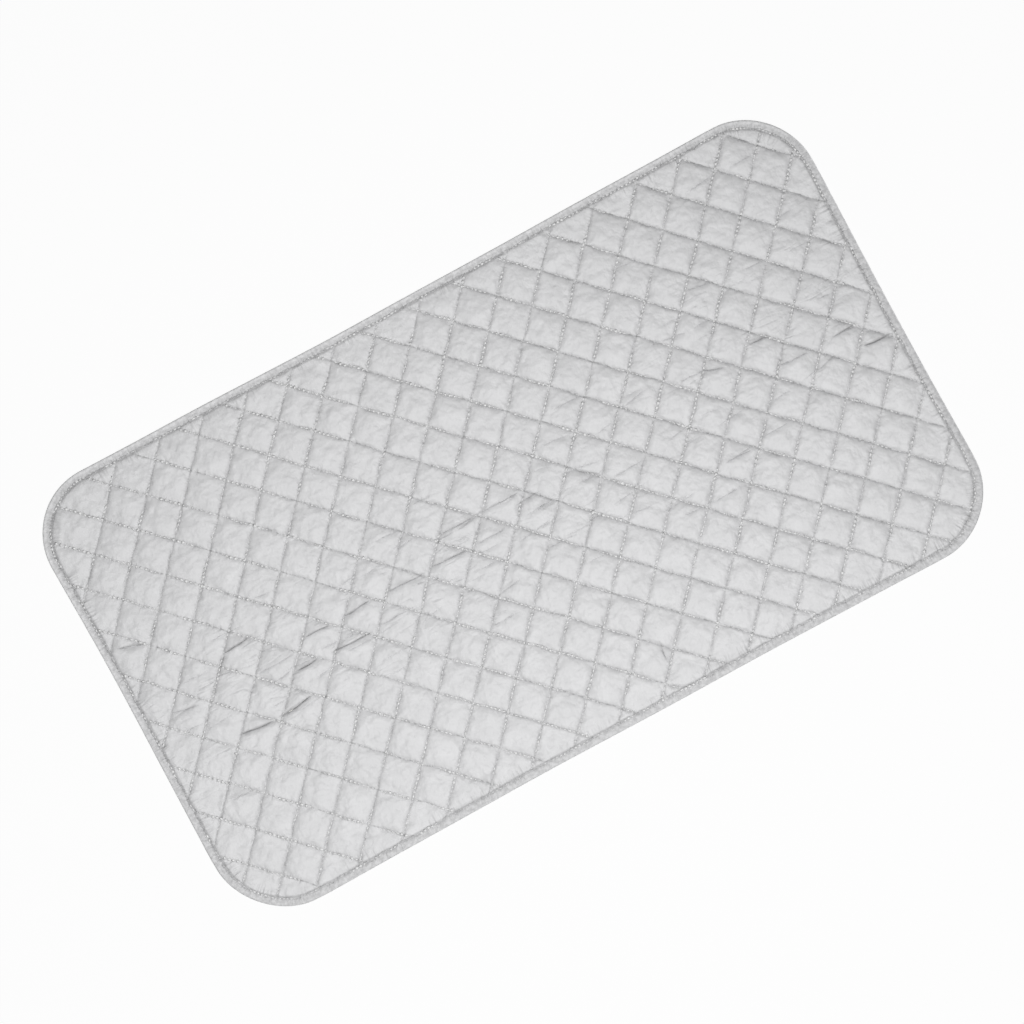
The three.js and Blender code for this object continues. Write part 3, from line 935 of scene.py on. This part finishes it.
tree, shader = finish_named("silver_coated_cotton", cover, 0.6)
shader.inputs["Metallic"].default_value = 0.12
place = add(tree, "TexCoord").outputs["Object"]
clouds = add(tree, "TexNoise", {"Vector": place, "Scale": 1 / (17 * MM), "Detail": 3.0})
coat = add(tree, "Mix", {"Factor": clouds, "A": linear("#c5c5c6"), "B": linear("#d7d7d8")}, **COLOURS)
relief = add(tree, "Bump", {"Height": weave(tree, place, WEAVE_PITCH), "Distance": 0.015 * MM})
for size, high in ((12 * MM, 2.25 * MM), (4 * MM, 0.5 * MM)):
    crumples = add(tree, "TexNoise", {"Vector": place, "Scale": 1 / size, "Detail": 1.0})
    relief = add(tree, "Bump", {"Height": crumples, "Distance": high, "Normal": relief})
print("coat and crumples:", len(tree.nodes), "nodes")

# %% Wrinkles along the pad, and gathers beside the tape
kept = {}
for name in ("rumple", "edge_depth", "edge_x", "edge_y", "painted_crease_shade", "open_row"):
    kept[name] = add(tree, "Attribute", attribute_name=name).outputs["Fac"]

drawn_out = add(tree, "Mapping", {"Vector": place, "Scale": (1 / (32 * MM), 1 / (8 * MM), 1.0)})
ripple = add(tree, "TexNoise", {"Vector": drawn_out, "Scale": 1.0, "Detail": 1.0})
ripple = add(tree, "Math", [ripple, 0.5], operation="SUBTRACT")
ripple = add(tree, "Math", [ripple], operation="ABSOLUTE")
wrinkles = add(tree, "MapRange", [ripple, 0.0, 0.12, 0.0, 1.0], **EASED)
patches = add(tree, "TexNoise", {"Vector": place, "Scale": 1 / (30 * MM), "Detail": 0.0})
patches = add(tree, "MapRange", [patches, 0.48, 0.62, 0.0, 1.0], **EASED)
for amount in (patches, kept["rumple"]):
    wrinkles = add(tree, "Math", [wrinkles, amount], operation="MULTIPLY")
relief = add(tree, "Bump", {"Height": wrinkles, "Distance": 0.25 * MM, "Normal": relief})

beside = add(tree, "CombineXYZ", [kept["edge_x"], kept["edge_y"]])
gathers = add(tree, "TexNoise", {"Vector": beside, "Scale": 1 / (4.5 * MM), "Detail": 1.0})
gathers = add(tree, "Math", [gathers, 0.5], operation="SUBTRACT")
fading = add(tree, "MapRange", [kept["edge_depth"], TAPE_FACE, TAPE_FACE + 14 * MM, 1.0, 0.0], **EASED)
patches = add(tree, "TexNoise", {"Vector": place, "Scale": 1 / (26 * MM), "Detail": 0.0})
patches = add(tree, "MapRange", [patches, 0.4, 0.6, 0.1, 1.0], **EASED)
for amount in (fading, patches):
    gathers = add(tree, "Math", [gathers, amount], operation="MULTIPLY")
relief = add(tree, "Bump", {"Height": gathers, "Distance": 3.2 * MM, "Normal": relief})
print("with wrinkles and gathers:", len(tree.nodes), "nodes")

# %% Painted shade on the coat
# painted shade: the coat is darkened beside the tape, where the seam's shadow falls
by_tape = add(tree, "MapRange", [kept["edge_depth"], TAPE_FACE, TAPE_FACE + 2.5 * MM, 0.72, 1.0], **EASED)
# painted shade in the creases
in_crease = add(tree, "MapRange", [kept["painted_crease_shade"], 0.0, 1.0, 1.0, 0.68], **EASED)
shade = add(tree, "Math", [by_tape, in_crease], operation="MULTIPLY")
numbers = add(tree, "SeparateXYZ", [add(tree, "UVMap", uv_map="rows")]).outputs
for near, other, pitch, first, closed in (("X", "Y", RISING_PITCH, FIRST_RISING, 0.34),
                                          ("Y", "X", FALLING_PITCH, -ROWS_OUT, 0.48)):
    row = add(tree, "Math", [numbers[near]], operation="ROUND")
    row = add(tree, "Math", [row, first], operation="MAXIMUM")
    off = add(tree, "Math", [numbers[near], row], operation="SUBTRACT")
    away = add(tree, "Math", [off], operation="ABSOLUTE")
    strip = add(tree, "CombineXYZ", [numbers[other], off, row])
    scaled = add(tree, "Mapping", {"Vector": strip, "Scale": (pitch / (4 * MM), pitch / (14 * MM), 7.3)})
    folds = add(tree, "TexNoise", {"Vector": scaled, "Scale": 1.0, "Detail": 1.0})
    # painted shade along each row: the coat is darkened where the row's shadow falls, deepest where the
    # thread is closed over
    widths = (1.0 * MM / pitch, 2.4 * MM / pitch)
    reach = add(tree, "MapRange", [kept["open_row"], 0.0, 1.0, *widths], **EASED)
    deepest = add(tree, "MapRange", [kept["open_row"], 0.0, 1.0, closed, 0.28], **EASED)
    row_shade = add(tree, "MapRange", [away, 0.0, reach, deepest, 0.0], **EASED)
    uneven = add(tree, "MapRange", [folds, 0.35, 0.65, 0.25, 1.0], **EASED)
    painted_shade = add(tree, "Math", [row_shade, uneven], operation="MULTIPLY")
    bright = add(tree, "Math", [1.0, painted_shade], operation="SUBTRACT")
    shade = add(tree, "Math", [shade, bright], operation="MULTIPLY")
    pucker = add(tree, "Math", [folds, 0.5], operation="SUBTRACT")
    by_row = add(tree, "MapRange", [away, 0.0, 5 * MM / pitch, 1.0, 0.0], **EASED)
    pucker = add(tree, "Math", [pucker, by_row], operation="MULTIPLY")
    relief = add(tree, "Bump", {"Height": pucker, "Distance": 1.6 * MM, "Normal": relief})
tone = add(tree, "Mix", {"Factor": 1.0, "A": coat, "B": shade}, blend_type="MULTIPLY", **COLOURS)
apply_tone_and_relief(tree, shader, tone, relief)

# %% [markdown]
# ### Woven tape
# The binding is a bias tape of plain polyester, matt, with painted light on its outer part towards the
# rear. Its seam gathers it into small folds across its length, and painted shade darkens the seam.

# %% Tape cloth
tree, shader = finish_named("woven_polyester_tape", binding, 0.7)
shader.inputs["Sheen Weight"].default_value = 0.1
tape_at = add(tree, "UVMap", uv_map="tape")
run = add(tree, "SeparateXYZ", [tape_at]).outputs["Y"]
place = add(tree, "TexCoord").outputs["Object"]
# painted light: the outer part of the tape is painted lighter towards the rear
rear = add(tree, "SeparateXYZ", [place]).outputs["Y"]
to_rear = add(tree, "MapRange", [rear, -WIDTH / 2, WIDTH / 2, 0.0, 0.35], **EASED)
outer_run = (TAPE_WIDTH / 2 + 3 * MM, TAPE_WIDTH / 2 + 6.5 * MM)
on_edge = add(tree, "MapRange", [run, *outer_run, 1.0, 0.0], **EASED)
pale = add(tree, "Math", [to_rear, on_edge], operation="MULTIPLY")
mottle = add(tree, "TexNoise", {"Vector": tape_at, "Scale": 1 / (4 * MM), "Detail": 1.0})
mottle = add(tree, "MapRange", [mottle, 0.3, 0.7, 0.2, 0.6], **EASED)
mottle = add(tree, "Math", [mottle, pale], operation="ADD")
cloth = add(tree, "Mix", {"Factor": mottle, "A": linear("#b8b8b9"), "B": linear("#eeeeef")}, **COLOURS)
TAPE_WEAVE = 1.6 * MM  # about four times coarser than real, so that it shows
relief = add(tree, "Bump", {"Height": weave(tree, tape_at, TAPE_WEAVE), "Distance": 0.04 * MM})
print("tape cloth:", len(tree.nodes), "nodes")

# %% Tape seam
away = add(tree, "Math", [run, TAPE_WIDTH - TAPE_FACE + SEAM_DEPTH], operation="SUBTRACT")
away = add(tree, "Math", [away], operation="ABSOLUTE")
scaled = add(tree, "Mapping", {"Vector": tape_at, "Scale": (1 / (2.6 * MM), 1 / (9 * MM), 1.0)})
folds = add(tree, "TexNoise", {"Vector": scaled, "Scale": 1.0, "Detail": 2.0})
# painted shade: the tape is darkened along its seam, least along the front
reach = add(tree, "MapRange", [folds, 0.35, 0.65, 0.6 * MM, 2.4 * MM], **EASED)
in_seam = add(tree, "MapRange", [away, 0.0, reach, 1.0, 0.0], **EASED)
least_in_front = add(tree, "MapRange", [rear, -WIDTH / 2, -WIDTH / 4, 0.4, 1.0], **EASED)
painted_seam_shade = add(tree, "Math", [in_seam, least_in_front], operation="MULTIPLY")
tone = add(tree, "Mix", {"Factor": painted_seam_shade, "A": cloth, "B": linear("#a2a2a3")}, **COLOURS)
pucker = add(tree, "Math", [folds, 0.5], operation="SUBTRACT")
by_seam = add(tree, "MapRange", [away, 0.0, 6 * MM, 1.0, 0.4], **EASED)
pucker = add(tree, "Math", [pucker, by_seam], operation="MULTIPLY")
relief = add(tree, "Bump", {"Height": pucker, "Distance": 2.6 * MM, "Normal": relief})
apply_tone_and_relief(tree, shader, tone, relief)

# %% [markdown]
# ### Thread, backing and wadding
# The thread is spun polyester of two plies, and the twist shows as slanting bands round each stitch. The
# backing is a matt, plain-woven cotton. The wadding is a fluff of fine fibres that lie mostly one way; it
# is hidden, and would show only at a cut edge.

# %% Spun polyester thread
PLIES, TURNS = 2, 3

tree, shader = finish_named("spun_polyester_thread", binding_stitches, 0.35)
bead_at = add(tree, "SeparateXYZ", [add(tree, "UVMap", uv_map="along")]).outputs
around = add(tree, "Math", [bead_at["X"], PLIES * 2 * math.pi], operation="MULTIPLY")
onward = add(tree, "Math", [bead_at["Y"], TURNS * 2 * math.pi], operation="MULTIPLY")
ply = add(tree, "Math", [around, onward], operation="ADD")
ply = add(tree, "Math", [ply], operation="SINE")
share = add(tree, "MapRange", [ply, -1.0, 1.0, 0.0, 1.0], **EASED)
tone = add(tree, "Mix", {"Factor": share, "A": linear("#e2e2e2"), "B": linear("#fafafa")}, **COLOURS)
apply_tone_and_relief(tree, shader, tone, add(tree, "Bump", {"Height": ply, "Distance": 0.08 * MM}))
for piece in (*stitch_pieces.values(), bobbin_stitches, binding_bobbin):
    piece.data.materials.clear()
    piece.data.materials.append(binding_stitches.data.materials[0])

# %% Plain cotton backing
BACKING_WEAVE = 1.5 * MM  # three times coarser than real

tree, shader = finish_named("plain_cotton_backing", backing, 0.85)
shader.inputs["Sheen Weight"].default_value = 0.15
place = add(tree, "TexCoord").outputs["Object"]
drawn_out = add(tree, "Mapping", {"Vector": place, "Scale": (1 / (40 * MM), 1 / (3 * MM), 1.0)})
slub = add(tree, "TexNoise", {"Vector": drawn_out, "Scale": 1.0, "Detail": 2.0})
tone = add(tree, "Mix", {"Factor": slub, "A": linear("#bcbcbc"), "B": linear("#d4d4d4")}, **COLOURS)
relief = add(tree, "Bump", {"Height": weave(tree, place, BACKING_WEAVE), "Distance": 0.06 * MM})
apply_tone_and_relief(tree, shader, tone, relief)

# %% Polyester wadding
tree, shader = finish_named("polyester_wadding", wadding, 0.95)
place = add(tree, "TexCoord").outputs["Object"]
combed = add(tree, "Mapping", {"Vector": place, "Scale": (1 / (2 * MM), 1 / (14 * MM), 1 / (2 * MM))})
fibres = add(tree, "TexNoise", {"Vector": combed, "Scale": 1.0, "Detail": 3.0})
tone = add(tree, "Mix", {"Factor": fibres, "A": linear("#e6e3da"), "B": linear("#faf8f2")}, **COLOURS)
apply_tone_and_relief(tree, shader, tone, add(tree, "Bump", {"Height": fibres, "Distance": 0.6 * MM}))

# %% [markdown]
# ## Fold
# The pad folds in half along its long centre line, so every soft piece bends there: points behind the
# fold ride on the rear half, points before it on the front half, and those between share both. Each
# piece replaces the CAD solids it stands for.

# %% Tie the pieces to the frame
for piece, slot, nodes in (
        (cover, "cover", ("cover_rear", "cover_front")),
        (wadding, "wadding", ("wadding_rear", "wadding_front")),
        (backing, "backing", ("backing_rear", "backing_front")),
        (binding, "binding", ("binding_rear", "binding_front")),
        (stitch_pieces["rising"], "thread", ("quilting_thread_rear", "quilting_thread_front")),
        (stitch_pieces["falling"], "thread", ("quilting_thread_rear", "quilting_thread_front")),
        (bobbin_stitches, "thread", ()),
        (binding_stitches, "thread", ("binding_thread_rear", "binding_thread_front")),
        (binding_bobbin, "thread", ())):
    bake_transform(piece, "rear_half", "front_half", start=FOLD_START, end=FOLD_END)
    if nodes:
        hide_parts(*nodes)

# %% [markdown]
# ## Floor, world and lamp
# The photograph has a plain white ground and one broad light from before the pad, near its middle: to the
# left the rising rows are the dark ones, and to the right the falling ones. The ground is white to the
# camera by its own glow, and still a plain floor to the lamp, so the pad keeps its shadow.

# %% Floor
FLOOR_SIZE, FLOOR_HEIGHT = 4.0, -0.05 * MM
GLOW_SHARE = 0.94

floor_bm = bmesh.new()
bmesh.ops.create_grid(floor_bm, x_segments=1, y_segments=1, size=FLOOR_SIZE)
bmesh.ops.translate(floor_bm, verts=floor_bm.verts, vec=(0, 0, FLOOR_HEIGHT))
floor = new_piece("floor", floor_bm)
tree, shader = finish_named("white_paper_floor", floor, 0.9)
shader.inputs["Base Color"].default_value = linear("#f6f6f6")


def seen_directly(tree):
    """1 for what the camera sees, in a mirror or through glass too, and 0 for what only lights."""
    path = add(tree, "LightPath").outputs
    rays = add(tree, "Math", [path["Is Camera Ray"], path["Is Glossy Ray"]], operation="ADD")
    rays = add(tree, "Math", [rays, path["Is Transmission Ray"]], operation="ADD")
    return add(tree, "Math", [rays, 1.0], operation="MINIMUM")


glow = add(tree, "Emission", {"Color": linear("#fefefe"), "Strength": 1.0})
share = add(tree, "Math", [seen_directly(tree), GLOW_SHARE], operation="MULTIPLY")
paper = add(tree, "MixShader", [share, shader, glow])
output = next(n for n in tree.nodes if n.type == "OUTPUT_MATERIAL")
tree.links.new(paper.outputs[0], output.inputs["Surface"])
print("floor glows for the camera")

# %% World and lamp
SKY_LIGHT = 0.2
LAMP_POWER, LAMP_SIZE = 23.5, 1.0
LAMP_PLACE, LAMP_AIM = (-0.07, -0.4, 1.65), Vector((0, 0.02, 0))

world = bpy.data.worlds.new("studio")
scene.world = world
world.use_nodes = True
tree = world.node_tree
tree.nodes.clear()
strength = add(tree, "MapRange", [seen_directly(tree), 0.0, 1.0, SKY_LIGHT, 1.0], **EASED)
sky = add(tree, "Background", {"Color": (1, 1, 1, 1), "Strength": strength})
add(tree, "OutputWorld", {"Surface": sky})

key = bpy.data.objects.new("key", bpy.data.lights.new("key", "AREA"))
scene.collection.objects.link(key)
key.data.shape = "SQUARE"
key.data.size = LAMP_SIZE
key.data.energy = LAMP_POWER
key.location = LAMP_PLACE
key.rotation_euler = (LAMP_AIM - key.location).to_track_quat("-Z", "Y").to_euler()
scene.view_settings.view_transform = "Standard"
print("lamp of", key.data.energy, "W")
